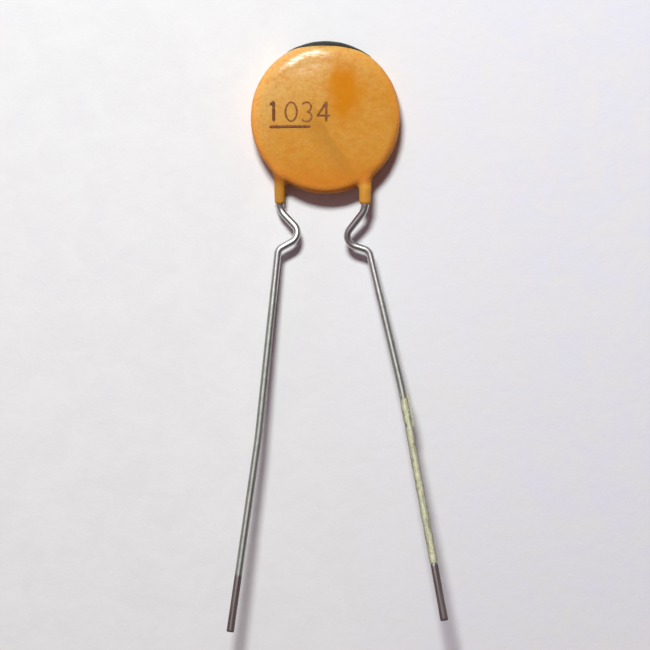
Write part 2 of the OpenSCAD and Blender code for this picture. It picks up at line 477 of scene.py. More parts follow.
class Surface:
    """A material in the making: its graph, its shader, the shared groups and local millimetres."""

    def __init__(self, name: str, effects: Effects, **constants: Value) -> None:
        """Starts a material with a Principled shader.

        Args:
            name: Name of the material.
            effects: The shared shader groups.
            **constants: Shader inputs that are the same all over, with _ for a space.
        """
        self.material, self.effects = bpy.data.materials.new(name), effects
        self.material.use_nodes = True
        self.material.node_tree.nodes.clear()
        self.graph = Graph(self.material.node_tree)
        self.shader = self.graph.node("ShaderNodeBsdfPrincipled")
        self.put(**constants)
        self.graph.node("ShaderNodeOutputMaterial", {"Surface": self.shader.outputs[0]})
        coordinates = self.graph.node("ShaderNodeTexCoord").outputs["Object"]
        self.place = self.graph.mapping(coordinates, shift=tuple(-disc_centre()), stretch=(1 / METRES,) * 3)

    def put(self, **values: Value) -> None:
        """Feeds inputs of the shader, named with _ for a space."""
        for name, value in values.items():
            self.graph.feed(self.shader.inputs[name.replace("_", " ")], value)

    def mask(self, pattern: Clouds | Flecks) -> Socket:
        """Places the group of a pattern.

        Args:
            pattern: Its values.

        Returns:
            Where it shows, 0 to 1.
        """
        g, place = self.graph, self.place
        if pattern.shift is not None:
            place = g.mapping(place, pattern.shift, stretch=pattern.stretch)
        if isinstance(pattern, Flecks):
            return g.group(self.effects.flecks, Place=place, Scale=pattern.scale, Size=pattern.size,
                           Share=pattern.chance)[0]
        return g.group(self.effects.clouds, Place=place, Scale=pattern.scale, Stir=pattern.stir, Low=pattern.low,
                       High=pattern.high)[0]

    def lay(self, colour: Value, top: Colour, pattern: Clouds | Flecks) -> Socket:
        """Lays a colour over another in a pattern, with the pattern's share."""
        mask = self.mask(pattern)
        return self.graph.blend(mask if pattern.share == 1 else self.graph.product(mask, pattern.share), colour, top)

    def lines(self, count: float, stretch: float) -> list[Socket]:
        """Lines and patches that run along a wire, by their closeness around it and their change along it."""
        g = self.graph
        return g.group(self.effects.drawn, Around=g.attribute("around", "Vector"), Along=g.attribute("along"),
                       Count=count, Stretch=stretch)

    def roughen(self, relief: Relief, normal: Socket | None = None) -> None:
        """Gives the material its fine relief, on top of a normal if one is given."""
        height = self.graph.group(self.effects.relief, Place=self.place, Broad=relief.broad, Fine=relief.fine,
                                  Share=relief.share)[0]
        self.put(Normal=self.graph.bump(height, relief.depth, relief.strength, normal))


@dataclass(frozen=True)
class Ground:
    """Local X and Y in a material's graph, and an uneven shift for the limits drawn on them."""

    graph: Graph
    x: Socket
    y: Socket
    shift: Socket

    def slanted(self, along_x: float, along_y: float) -> Socket:
        """Distance along a slanted direction."""
        return self.graph.math("MULTIPLY_ADD", self.x, along_x, self.graph.product(self.y, along_y))

    def radius(self, x: Socket, y: Socket) -> Socket:
        """Distance from zero of a place given by two distances at right angles."""
        g = self.graph
        return g.math("SQRT", g.total(g.product(x, x), g.product(y, y)))

    def oval(self, at: Flat, size: Flat, shift: Socket, span: Span) -> Socket:
        """Soft oval patch with an uneven edge.

        Args:
            at: Its middle.
            size: Its half width and half height.
            shift: Uneven shift of its edge.
            span: Shares of its size between which it fades.

        Returns:
            The mask.
        """
        g = self.graph
        parts = [g.math("DIVIDE", g.math("SUBTRACT", value, middle), half)
                 for value, middle, half in zip((self.x, self.y), at, size)]
        return g.spread(g.total(self.radius(*parts), shift), span)


@dataclass(frozen=True)
class ResinFinish:
    """Orange dipped resin: cloudy, deep in a patch, redder at the foot partly as painted shade, with a painted sheen at
    the upper left, painted shade beside the wire and at the lower edge, and painted light on the rim.
    """

    body: Colour = linear(204, 145, 54)
    pale: Colour = linear(217, 174, 102)
    # The corner fields paint a sheen: the resin turns paler towards the upper left, where the light falls on it.
    corner: Span = Span(-1.0, 6.4)
    painted_sheen_way: Flat = (-0.55, 0.83)
    wander_scale: float = 0.8
    wander: float = 1.1
    haze: Clouds = Clouds(0.9, 0.9, 0.3, 0.72, 0.2)
    streak: Colour = linear(206, 118, 34)
    mottles: Clouds = Clouds(1.5, 0.7, 0.46, 0.74, 0.5, (4.1, 0.7, 0.0), (1.0, 1.5, 1.0))
    deep: Colour = linear(204, 128, 16)
    patch_at: Flat = (1.65, 2.5)
    patch_size: Flat = (1.7, 2.75)
    patch_edge: Span = Span(1.32, 0.36)
    # The dull colour and the values after it paint shade on the flank of the front wire's line that is turned from the
    # light.
    dull: Colour = linear(186, 132, 54)
    ridge_shade_share: float = 0.72
    shade_line_way: Flat = (0.845, 0.535)
    shade_line_off: float = 0.45
    painted_light_wander: float = 0.5
    shade_line_near: Span = Span(0.14, -0.1)
    shade_line_far: Span = Span(-2.2, -0.2)
    shade_line_top: Span = Span(1.2, -1.0)
    # The foot colour is redder and darker towards the legs: partly the resin's own tone, partly painted shade of the
    # lower side, which faces from the light.
    lower_tone_and_shade: Colour = linear(206, 126, 36)
    lower_shade_from: Span = Span(-2.6, -6.4, 0.0, 0.85)
    # The rim colour and its spans paint light onto the rim, strongest low down, to brighten where the rim turns from
    # the light.
    rim: Colour = linear(250, 164, 70)
    rim_light_in: Span = Span(5.75, 6.55)
    rim_light_out: Span = Span(6.95, 6.65)
    rim_light_down: Span = Span(5.0, -1.0, 0.15, 0.9)
    # The edge colour and its spans paint shade along the very edge of the lower rim, where it meets the paper.
    edge: Colour = linear(150, 82, 28)
    edge_shade_in: Span = Span(6.35, 6.67)
    edge_shade_down: Span = Span(0.0, -4.0, 0.0, 0.55)
    legs: Colour = linear(204, 147, 62)
    leg_side: Span = Span(0.85, 0.55)
    leg_down: Span = Span(-5.3, -6.3)
    grain: Colour = linear(188, 120, 42)
    specks: Clouds = Clouds(4.2, 0.5, 0.4, 0.66, 0.27)
    fleck: Colour = linear(128, 84, 44)
    dark_flecks: Flecks = Flecks(0.9, 0.075, 0.35, 0.5)
    pale_flecks: Flecks = Flecks(1.1, 0.07, 0.3, 0.3, (3.3, 1.7, 0.4))
    rough: Span = Span(0.3, 0.7, 0.36, 0.54)
    rough_stretch: Point = (0.9, 3.2, 1.0)
    gloss_at: Flat = (-1.85, 5.05)
    gloss_size: Flat = (2.6, 1.6)
    gloss_wander: float = 0.7
    gloss: Span = Span(0.38, 0.64, 1.0, 0.1)
    gloss_least: float = 0.02
    lines_turn: float = 8.0
    lines_stretch: Point = (1.0, 3.4, 1.0)
    lines_depth: float = 0.022
    relief: Relief = Relief(1.7, 6.5, 0.4, 0.03, 0.9)

    def build(self, effects: Effects) -> bpy.types.Material:
        """Builds the material.

        Args:
            effects: The shared shader groups.

        Returns:
            The material.
        """
        made = Surface("orange_resin", effects, Specular_IOR_Level=0.03, Coat_Roughness=0.33, Coat_IOR=1.6,
                       Subsurface_Weight=0.45, Subsurface_Radius=(1.0, 0.42, 0.15), Subsurface_Scale=0.0009)
        g, place = made.graph, made.place
        x, y = g.axes(place)[:2]
        at = Ground(g, x, y, g.product(g.centred(g.noise(place, self.wander_scale)), self.wander))
        # Painted sheen: paler towards the upper left.
        colour = g.blend(g.spread(g.total(at.slanted(*self.painted_sheen_way), at.shift), self.corner), self.body, self.pale)
        colour = made.lay(colour, self.pale, self.haze)
        colour = made.lay(colour, self.streak, self.mottles)
        colour = g.blend(at.oval(self.patch_at, self.patch_size, at.shift, self.patch_edge), colour, self.deep)
        # Painted shade beside the front wire's line.
        colour = g.blend(g.product(self.ridge_shade_mask(at), self.ridge_shade_share), colour, self.dull)
        # Redder towards the legs, partly painted shade.
        colour = g.blend(g.spread(g.total(y, at.shift), self.lower_shade_from), colour, self.lower_tone_and_shade)
        colour = self.rim_light_and_shade(at, colour)
        colour = made.lay(colour, self.grain, self.specks)
        colour = made.lay(colour, self.fleck, self.dark_flecks)
        colour = made.lay(colour, self.pale, self.pale_flecks)
        rough = g.noise(g.mapping(place, stretch=self.rough_stretch), scale=1.6, detail=3.0, roughness=0.6)
        shine = at.oval(self.gloss_at, self.gloss_size, g.product(at.shift, self.gloss_wander), self.patch_edge)
        gloss = g.math("MULTIPLY_ADD", shine, g.spread(rough, self.gloss), self.gloss_least, clamp=True)
        made.put(Base_Color=colour, Roughness=g.spread(rough, self.rough), Coat_Weight=gloss)
        drawn = g.mapping(place, turn=self.lines_turn, stretch=self.lines_stretch)
        lines = g.noise(drawn, scale=1.7, detail=4.0, roughness=0.65, distortion=0.8)
        made.roughen(self.relief, g.bump(lines, self.lines_depth, strength=0.8))
        return made.material

    def ridge_shade_mask(self, at: Ground) -> Socket:
        """Painted shade on the side of the line that the front wire makes under the resin, the side turned from the
        light.

        Args:
            at: The place on the disc.

        Returns:
            The mask.
        """
        g = at.graph
        side = g.math("MULTIPLY_ADD", at.shift, self.painted_light_wander,
                      g.total(at.slanted(*self.shade_line_way), self.shade_line_off))
        below = g.spread(g.total(at.y, at.shift), self.shade_line_top)
        return g.product(g.spread(side, self.shade_line_near), g.spread(side, self.shade_line_far), below)

    def rim_light_and_shade(self, at: Ground, colour: Socket) -> Socket:
        """Paints light onto the rim, paints shade along its lower edge and gives the legs their own colour.

        Args:
            at: The place on the disc.
            colour: The colour so far.

        Returns:
            The colour.
        """
        g, out = at.graph, at.radius(at.x, at.y)
        # Painted light on the rim, strongest low down.
        rim = g.product(g.spread(out, self.rim_light_in), g.spread(at.y, self.rim_light_down), g.spread(out, self.rim_light_out))
        colour = g.blend(rim, colour, self.rim)
        near = [g.math("ABSOLUTE", g.math("SUBTRACT", at.x, leg_x)) for leg_x in CoatShape.legs_x]
        legs = g.product(g.spread(g.math("MINIMUM", *near), self.leg_side), g.spread(at.y, self.leg_down))
        # Painted shade along the lower edge, kept off the legs.
        edge = g.product(g.spread(out, self.edge_shade_in), g.spread(at.y, self.edge_shade_down), g.math("SUBTRACT", 1.0, legs))
        return g.blend(legs, g.blend(edge, colour, self.edge), self.legs)


@dataclass(frozen=True)
class PaintFinish:
    """Black marking paint, brushed thin enough to look green-brown at its thinnest."""

    body: Colour = (0.011, 0.009, 0.006)
    thin: Colour = (0.022, 0.022, 0.01)
    worn: Clouds = Clouds(1.3, 0.8, 0.38, 0.72)
    rough: Span = Span(0.3, 0.7, 0.28, 0.5)
    relief: Relief = Relief(2.2, 12.0, 0.35, 0.02, 0.7)

    def build(self, effects: Effects) -> bpy.types.Material:
        """Builds the material.

        Args:
            effects: The shared shader groups.

        Returns:
            The material.
        """
        made = Surface("black_paint", effects, Specular_IOR_Level=0.35, Coat_Weight=0.1, Coat_Roughness=0.25)
        rough = made.graph.spread(made.graph.noise(made.place, scale=3.0, detail=3.0), self.rough)
        made.put(Base_Color=made.lay(self.body, self.thin, self.worn), Roughness=rough)
        made.roughen(self.relief)
        return made.material


@dataclass(frozen=True)
class InkFinish:
    """Stamped ink, dark where it lies thick and brown where the resin shows through."""

    thick: Colour = linear(102, 54, 38)
    thin: Colour = linear(178, 116, 52)
    spots: Clouds = Clouds(5.5, 0.3, 0.34, 0.66)
    spot_share: float = 0.45
    full: float = 0.8
    rough: Span = Span(0.0, 1.0, 0.42, 0.55)
    relief: Relief = Relief(3.0, 12.0, 0.4, 0.012, 0.6)

    def build(self, effects: Effects) -> bpy.types.Material:
        """Builds the material.

        Args:
            effects: The shared shader groups.

        Returns:
            The material.
        """
        made = Surface("brown_ink", effects, Specular_IOR_Level=0.18)
        g, spots = made.graph, made.mask(self.spots)
        missing = g.math("SUBTRACT", self.full, g.attribute("ink"))
        bare = g.math("MULTIPLY_ADD", spots, self.spot_share, missing, clamp=True)
        made.put(Base_Color=g.blend(bare, self.thick, self.thin), Roughness=g.spread(spots, self.rough))
        made.roughen(self.relief)
        return made.material


@dataclass(frozen=True)
class TinnedWireFinish:
    """Tinned wire: bright at the kink, duller with a green-grey haze along the runs, bare and brown at its end."""

    bright: Colour = (0.58, 0.585, 0.57)
    dull: Colour = (0.42, 0.44, 0.405)
    stain: Colour = (0.3, 0.29, 0.23)
    nick: Colour = (0.95, 0.94, 0.9)
    bare: Colour = (0.15, 0.115, 0.11)
    scraped: Colour = (0.34, 0.29, 0.29)
    line_count: float = 4.0
    line_stretch: float = 0.1
    age_wander: float = 5.0
    aged: Span = Span(18.0, 21.5)
    stained: Span = Span(0.48, 0.68, 0.0, 0.55)
    streaked: Span = Span(0.55, 0.75, 0.0, 0.25)
    nicks: Flecks = Flecks(0.75, 0.16, 0.4)
    end_wander: float = 0.9
    end: Span = Span(5.12, 4.88)
    scrapes: Span = Span(0.4, 0.65)
    rough: Span = Span(0.3, 0.7, 0.33, 0.44)
    rough_aged: float = 0.12
    rough_bare: float = 0.1
    rough_nick: float = -0.12

    def build(self, effects: Effects) -> bpy.types.Material:
        """Builds the material.

        Args:
            effects: The shared shader groups.

        Returns:
            The material.
        """
        made = Surface("tinned_wire", effects, Metallic=1.0)
        g = made.graph
        lines, patches = made.lines(self.line_count, self.line_stretch)
        age = g.math("MULTIPLY_ADD", g.centred(patches), self.age_wander, g.attribute("along"))
        aged, nick = g.spread(age, self.aged), made.mask(self.nicks)
        colour = g.blend(aged, self.bright, self.dull)
        colour = g.blend(g.product(g.spread(patches, self.stained), aged), colour, self.stain)
        colour = g.blend(g.spread(lines, self.streaked), colour, self.stain)
        colour = g.blend(nick, colour, self.nick)
        edge = g.math("MULTIPLY_ADD", g.centred(lines), self.end_wander, g.attribute("to_end"))
        bare = g.spread(edge, self.end)
        colour = g.blend(bare, colour, g.blend(g.spread(lines, self.scrapes), self.bare, self.scraped))
        rough = g.math("MULTIPLY_ADD", aged, self.rough_aged, g.spread(lines, self.rough))
        rough = g.math("MULTIPLY_ADD", bare, self.rough_bare, rough)
        rough = g.math("MULTIPLY_ADD", nick, self.rough_nick, rough, clamp=True)
        normal = g.bump(lines, depth=0.01, strength=0.6)
        made.put(Base_Color=colour, Roughness=rough, Normal=g.bump(patches, depth=0.02, strength=0.6, normal=normal))
        return made.material


@dataclass(frozen=True)
class FilmFinish:
    """Old tape glue on a wire, dull and grainy, with a painted highlight in khaki along its top and painted shade in
    olive at its sides.
    """

    name: str = "glue_film"
    # The thick, middle and thin colours are painted light: paler where the surface faces up, olive where it faces
    # sideways.
    thick: Colour = linear(214, 213, 182)
    middle: Colour = linear(190, 190, 154)
    thin: Colour = linear(120, 121, 76)
    bare: Colour = linear(162, 158, 146)
    grit: Colour = linear(96, 94, 62)
    pale: Colour = linear(226, 226, 206)
    grain: Clouds = Clouds(2.6, 0.7, 0.34, 0.64)
    crown: Span = Span(0.1, 0.95)
    painted_top_highlight: Span = Span(0.62, 0.9)
    painted_light_wander: float = -0.25
    worn_count: float = 3.0
    worn_stretch: float = 0.45
    worn_lines: Span = Span(0.5, 0.62, 0.0, 0.85)
    worn_patches: Span = Span(0.52, 0.66, 0.0, 0.7)
    grit_flecks: Flecks = Flecks(2.2, 0.28, 0.3, 0.6)
    pale_flecks: Flecks = Flecks(2.6, 0.3, 0.35, 0.5, (2.3, 0.9, 0.4))
    rough: Span = Span(0.0, 1.0, 0.38, 0.62)
    relief: Relief = Relief(3.0, 14.0, 0.4, 0.06, 0.8)

    def build(self, effects: Effects) -> bpy.types.Material:
        """Builds the material.

        Args:
            effects: The shared shader groups.

        Returns:
            The material.
        """
        made = Surface(self.name, effects, Specular_IOR_Level=0.45)
        grain = made.mask(self.grain)
        made.put(Base_Color=self.colour(made, grain), Roughness=made.graph.spread(grain, self.rough))
        made.roughen(self.relief)
        return made.material

    def colour(self, made: Surface, grain: Socket) -> Socket:
        """Colour of the glue round the wire, with painted highlight on top and painted shade at the sides, by which way
        the surface faces.

        Args:
            made: The material.
            grain: Its uneven patches.

        Returns:
            The colour.
        """
        g, top = made.graph, made.graph.attribute("crown")
        # Painted shade at the sides and painted highlight on top, from how far the surface faces up.
        colour = g.blend(g.spread(top, self.crown), self.thin, self.middle)
        painted_top_highlight = g.spread(g.math("MULTIPLY_ADD", grain, self.painted_light_wander, top), self.painted_top_highlight)
        colour = g.blend(painted_top_highlight, colour, self.thick)
        lines, patches = made.lines(self.worn_count, self.worn_stretch)
        colour = g.blend(g.spread(lines, self.worn_lines), colour, self.bare)
        colour = g.blend(g.spread(patches, self.worn_patches), colour, self.thin)
        colour = made.lay(colour, self.grit, self.grit_flecks)
        return made.lay(colour, self.pale, self.pale_flecks)


@dataclass(frozen=True)
class FlapFinish(FilmFinish):
    """The same glue where it stands off the wire as a thin flap that lets light through."""

    name: str = "glue_flap"
    thick: Colour = linear(214, 214, 190)
    thin: Colour = linear(196, 198, 168)
    clear: Span = Span(0.0, 1.0, 0.3, 0.5)

    def colour(self, made: Surface, grain: Socket) -> Socket:
        """Colour of the flap, whose thin parts also let more light through.

        Args:
            made: The material.
            grain: Its uneven patches.

        Returns:
            The colour.
        """
        made.put(Alpha=made.graph.spread(grain, self.clear))
        return made.graph.blend(grain, self.thick, self.thin)


@dataclass(frozen=True)
class CoreFinish:
    """A finish inside the coating: fired ceramic, silver or solder."""

    name: str
    first: Colour
    second: Colour
    metallic: float
    rough: Span
    scale: float
    depth: float

    def build(self, effects: Effects) -> bpy.types.Material:
        """Builds the material.

        Args:
            effects: The shared shader groups.

        Returns:
            The material.
        """
        made = Surface(self.name, effects, Metallic=self.metallic)
        g, clouds = made.graph, made.mask(Clouds(self.scale, 0.5, 0.3, 0.7))
        made.put(Base_Color=g.blend(clouds, self.first, self.second), Roughness=g.spread(clouds, self.rough))
        made.roughen(Relief(self.scale * 2, 15.0, 0.5, self.depth, 0.8))
        return made.material


CERAMIC = CoreFinish("fired_ceramic", (0.62, 0.53, 0.4), (0.52, 0.43, 0.31), 0.0, Span(0, 1, 0.6, 0.8), 1.6, 0.02)
SILVER = CoreFinish("fired_silver", (0.82, 0.81, 0.78), (0.7, 0.69, 0.65), 1.0, Span(0, 1, 0.35, 0.55), 2.4, 0.01)
SOLDER = CoreFinish("dull_solder", (0.62, 0.62, 0.62), (0.45, 0.45, 0.46), 1.0, Span(0, 1, 0.3, 0.5), 1.8, 0.03)


@dataclass(frozen=True)
class PaperFinish:
    """Pale paper with a fine uneven tooth, and painted shade that makes it darker and a little bluer towards the right.
    """

    body: Colour = (0.8, 0.8, 0.8)
    painted_right_shade: Colour = (0.755, 0.752, 0.825)
    shade: Colour = (0.775, 0.773, 0.785)
    right_shade_span: Span = Span(-8.0, 24.0)
    clouds: Clouds = Clouds(0.35, 0.6, 0.3, 0.7)
    relief: Relief = Relief(0.9, 3.5, 0.35, 0.05, 0.7)

    def build(self, effects: Effects) -> bpy.types.Material:
        """Builds the material.

        Args:
            effects: The shared shader groups.

        Returns:
            The material.
        """
        made = Surface("pale_paper", effects, Specular_IOR_Level=0.2, Roughness=0.85)
        g = made.graph
        # Painted shade: darker and bluer towards the right.
        body = g.blend(g.spread(g.axes(made.place)[0], self.right_shade_span), self.body, self.painted_right_shade)
        made.put(Base_Color=made.lay(body, self.shade, self.clouds))
        made.roughen(self.relief)
        return made.material


# ---- Shapes ----


def soft_join(a: np.ndarray, b: np.ndarray, width: float) -> np.ndarray:
    """Distance to two solids together, with an inside corner rounded over a width."""
    share = np.clip(0.5 + 0.5 * (b - a) / width, 0, 1)
    return b + (a - b) * share - width * share * (1 - share)


def rod(p: np.ndarray, start: Point, end: Point, r_start: float, r_end: float) -> np.ndarray:
    """Distance to a round-ended rod that may taper.

    Args:
        p: Points, one in each last row.
        start: Its first end.
        end: Its last end.
        r_start: Radius at the first end.
        r_end: Radius at the last end.

    Returns:
        The distances.
    """
    a, b = np.array(start), np.array(end)
    line = b - a
    t = np.clip(((p - a) @ line) / (line @ line), 0, 1)
    return np.linalg.norm(p - a - t[..., None] * line, axis=-1) - (r_start + (r_end - r_start) * t)


def skin_mesh(distance: Distance, low: Point, high: Point, step: float) -> tuple[np.ndarray, np.ndarray]:
    """Closed mesh of the surface where a distance is zero.

    Args:
        distance: Distance of points, negative inside.
        low: Lowest corner of the space that holds the solid.
        high: Highest corner.
        step: Size of a cell.

    Returns:
        The points, and four corner indices for each face.
    """
    counts = np.ceil((np.array(high) - np.array(low)) / step).astype(int) + 1
    rows = [low[d] + step * np.arange(counts[d]) for d in range(3)]
    grid = np.stack(np.meshgrid(*rows, indexing="ij"), -1)
    value = distance(grid)
    cells = counts - 1
    total, hits = np.zeros((*cells, 3)), np.zeros(cells, int)
    edges = []
    for d in range(3):
        u, v = (d + 1) % 3, (d + 2) % 3
        first, last = (tuple(part if k == d else slice(None) for k in range(3)) for part in (np.s_[:-1], np.s_[1:]))
        head, tail = value[first], value[last]
        crosses = (head < 0) != (tail < 0)
        share = np.where(crosses, head / np.where(crosses, head - tail, 1), 0)
        point = grid[first].copy()
        point[..., d] += share * step
        edges.append((crosses, head < 0))
        for a, b in np.ndindex(2, 2):
            pick = [slice(None)] * 3
            pick[d], pick[u], pick[v] = slice(0, cells[d]), slice(a, a + cells[u]), slice(b, b + cells[v])
            here = crosses[tuple(pick)]
            hits += here
            total += here[..., None] * point[tuple(pick)]
    used = hits > 0
    index = np.full(cells, -1)
    index[used] = np.arange(used.sum())
    points = total[used] / hits[used][:, None]
    faces = []
    for d, (crosses, leaving) in enumerate(edges):
        u, v = np.eye(3, dtype=int)[(d + 1) % 3], np.eye(3, dtype=int)[(d + 2) % 3]
        at = np.argwhere(crosses)
        ring = np.stack([index[tuple((at - back).T)] for back in (u + v, v, 0 * u, u)], -1)
        faces.append(np.where(leaving[tuple(at.T)][:, None], ring, ring[:, ::-1]))
    return settle(distance, points), np.concatenate(faces)


def settle(distance: Distance, points: np.ndarray, rounds: int = 3, reach: float = 1e-3, most: float = 0.05
           ) -> np.ndarray:
    """Moves points onto the surface where a distance is zero.

    Args:
        distance: The distance.
        points: Points near the surface.
        rounds: Number of moves.
        reach: Half the length over which the distance's slope is measured.
        most: Longest move, and the least square of the slope.

    Returns:
        The moved points.
    """
    steps = reach * np.eye(3)
    for _ in range(rounds):
        grad = np.stack([(distance(points + s) - distance(points - s)) / (2 * reach) for s in steps], -1)
        size = np.maximum((grad * grad).sum(-1), most)
        points = points - np.clip(distance(points) / size, -most, most)[:, None] * grad
    return points


def ripple(p: np.ndarray, length: float, seed: int, count: int = 14) -> np.ndarray:
    """Smooth uneven value around zero, from a fixed set of waves.

    Args:
        p: Points, one in each last row.
        length: Typical wave length.
        seed: Seed of the set.
        count: Number of waves.

    Returns:
        The value at each point, mostly within -1 to 1.
    """
    chance = np.random.default_rng(seed)
    total = np.zeros(p.shape[:-1])
    for _ in range(count):
        heading = chance.normal(size=3)
        heading *= 2 * math.pi / (length * chance.uniform(0.7, 1.5) * np.linalg.norm(heading))
        total += np.sin(p @ heading + chance.uniform(0, 2 * math.pi))
    return total / math.sqrt(count)


def ripple_along(reach: np.ndarray, length: float, seed: int) -> np.ndarray:
    """Smooth uneven value along a line."""
    return ripple(np.column_stack([reach, reach * 0, reach * 0]), length, seed)


@dataclass
class CoatShape:
    """Outside of the dipped coating: a round-rimmed disc, a low line over each wire and two tapering legs.

    Pairs that name legs, faces, webs or ridges give the left wire's value first. The rims are the rim's width at the
    bottom and at the top, the shoulder is a shallow dent at an X and Y with its depth, and each ripple is the depth
    and length of a layer of unevenness.
    """

    radius: float = 6.7
    narrow: float = 0.982
    half: float = 1.33
    rims: Flat = (0.85, 1.9)
    rim_power: float = 3
    blunt: float = 2.2
    crown: float = 0.15
    crown_lean: float = 0.5
    shoulder: Point = (-1.8, 4.9, 0.025)
    shoulder_size: Flat = (1.7, 0.9)
    legs_x: Flat = (-4.0, 3.5)
    faces: tuple[Face, Face] = (Face.BACK, Face.FRONT)
    leg_top: float = -4.6
    leg_root: float = -6.3
    leg_off: float = 0.6
    leg_sinks: Flat = (0.8, 0.2)
    root_sink: float = 0.95
    leg_line: float = -7.55
    leg_ends: Flat = (-7.72, -7.78)
    legs_r: Flat = (0.5, 0.55)
    leg_ends_r: Flat = (0.46, 0.5)
    webs_z: Flat = (0.5, 0.1)
    web_end: float = 0.5
    web_thinner: float = 0.03
    ridge_z: float = 0.905
    ridges_r: Flat = (0.365, 0.26)
    ridge_soft: float = 0.3
    leg_soft: float = 0.5
    step_run: float = 0.8
    ceramic_r: float = 5.5
    slant: Flat = (0.75, 1.3)
    overrun: float = 1.0
    over_edge: float = 0.3
    ripples: tuple[Flat, Flat] = ((0.008, 1.25), (0.014, 5.0))

    def ridge_points(self, side: Side) -> list[Flat]:
        """Places that the wire passes on its face of the disc.

        Args:
            side: Which wire.

        Returns:
            Its end past the middle, the end of its slant, and where it leaves the disc.
        """
        x = self.legs_x[0 if side is Side.LEFT else 1]
        edge = -math.sqrt(self.ceramic_r ** 2 - x * x)
        slant = (x - side.value * self.slant[0], edge + self.slant[1])
        size = math.hypot(*slant)
        past = (-slant[0] / size * self.overrun, -slant[1] / size * self.overrun)
        return [past, slant, (x, edge - self.over_edge)]

    def disc(self, p: np.ndarray) -> np.ndarray:
        """Distance to the round-rimmed disc.

        Args:
            p: Local points.

        Returns:
            The distances.
        """
        x, y, z = p[..., 0], p[..., 1], p[..., 2]
        rho = np.hypot(x / self.narrow, y)
        up = y / np.maximum(rho, 1e-6)
        rim = self.rims[0] + (self.rims[1] - self.rims[0]) * ((1 + up) / 2) ** self.rim_power
        share = np.clip(rho / (self.radius - rim), 0, 1)
        half = self.half - self.crown * share ** 2 * (1 + self.crown_lean * share * up)
        a, b, n = np.maximum(rho - (self.radius - rim), 0) / rim, np.abs(z) / half, self.blunt
        near = np.maximum((a ** n + b ** n) ** (1 / n), 1e-6)
        steep = np.hypot((a / near) ** (n - 1) / rim, (b / near) ** (n - 1) / half)
        return (near - 1) / np.maximum(steep, 1e-6)

    def ridge(self, p: np.ndarray, number: int) -> np.ndarray:
        """Distance to the low line over one wire.

        Args:
            p: Local points.
            number: 0 for the left wire, 1 for the right.

        Returns:
            The distances.
        """
        z, r = self.faces[number].value * self.ridge_z, self.ridges_r[number]
        route = [(*flat, z) for flat in self.ridge_points((Side.LEFT, Side.RIGHT)[number])]
        return np.minimum(*(rod(p, a, b, r, r) for a, b in zip(route, route[1:])))

    def leg(self, p: np.ndarray, number: int) -> np.ndarray:
        """Distance to one leg and the web of resin in its root.

        Args:
            p: Local points.
            number: 0 for the left leg, 1 for the right.

        Returns:
            The distances.
        """
        x, z = self.legs_x[number], self.faces[number].value * self.leg_off
        top_r, end_r, end = self.legs_r[number], self.leg_ends_r[number], self.leg_ends[number]
        root, sunk = (x, self.leg_root, self.root_sink * z), (x, self.leg_top, self.leg_sinks[number] * z)
        leg = np.minimum(rod(p, sunk, root, top_r, top_r), rod(p, root, (x, end + end_r, z), top_r, end_r))
        web = rod(p, (x, self.leg_top, self.webs_z[number]), (x, end + self.web_end, 0.5 * z), top_r,
                  end_r - self.web_thinner)
        return np.minimum(leg, web)

    def distance(self, p: np.ndarray) -> np.ndarray:
        """Distance to the coating.

        Args:
            p: Local points.

        Returns:
            The distances, negative inside.
        """
        away = [((p[..., k] - self.shoulder[k]) / self.shoulder_size[k]) ** 2 for k in (0, 1)]
        total = self.disc(p) + self.shoulder[2] * np.exp(-away[0] - away[1]) * (p[..., 2] > 0)
        for part, soft in ((self.ridge, self.ridge_soft), (self.leg, self.leg_soft)):
            for number in (0, 1):
                total = soft_join(total, part(p, number), soft)
        for k, (depth, length) in enumerate(self.ripples):
            total = total + depth * ripple(p, length, SEED + k)
        return total

    def front(self, flat: np.ndarray, limits: Flat = (0.7, 1.8), rounds: int = 30) -> np.ndarray:
        """Height of the printed face.

        Args:
            flat: Local X and Y of each place.
            limits: A height inside the coating everywhere, and one outside it.
            rounds: How often the room between them is halved.

        Returns:
            Local Z of each place.
        """
        low, high = (np.full(len(flat), limit) for limit in limits)
        for _ in range(rounds):
            middle = (low + high) / 2
            inside = self.distance(np.column_stack([flat, middle])) < 0
            low, high = np.where(inside, middle, low), np.where(inside, high, middle)
        return (low + high) / 2


# ---- Pieces ----


@dataclass
class Core:
    """The silvered ceramic disc and its solder, whose CAD meshes stay as they are."""

    finishes: dict[str, CoreFinish] = field(default_factory=lambda: {
        "ceramic_disc": CERAMIC, "electrode_front": SILVER, "electrode_back": SILVER,
        "solder_front": SOLDER, "solder_back": SOLDER})

    def dress(self, effects: Effects) -> None:
        """Gives each CAD node its material.

        Args:
            effects: The shared shader groups.
        """
        made = {finish.name: finish.build(effects) for finish in self.finishes.values()}
        for node, finish in self.finishes.items():
            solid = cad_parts[node]
            solid.data.materials.clear()
            solid.data.materials.append(made[finish.name])
            LOG.info("%s: CAD mesh kept, finish %s", node, finish.name)


@dataclass
class Coating:
    """The dipped resin over the disc, the wires' upper ends and the legs."""

    shape: CoatShape
    low: Point = (-6.98, -8.1, -1.72)
    high: Point = (6.98, 7.04, 1.72)
    step: float = 0.078

    def build(self) -> bpy.types.Object:
        """Builds its closed mesh."""
        return add_mesh("resin_coating", *skin_mesh(self.shape.distance, self.low, self.high, self.step))

    def dress(self, piece: bpy.types.Object, effects: Effects) -> None:
        """Gives the coating its finish and its place in the frame."""
        seat(piece, "orange_resin", ResinFinish().build(effects), "coating")


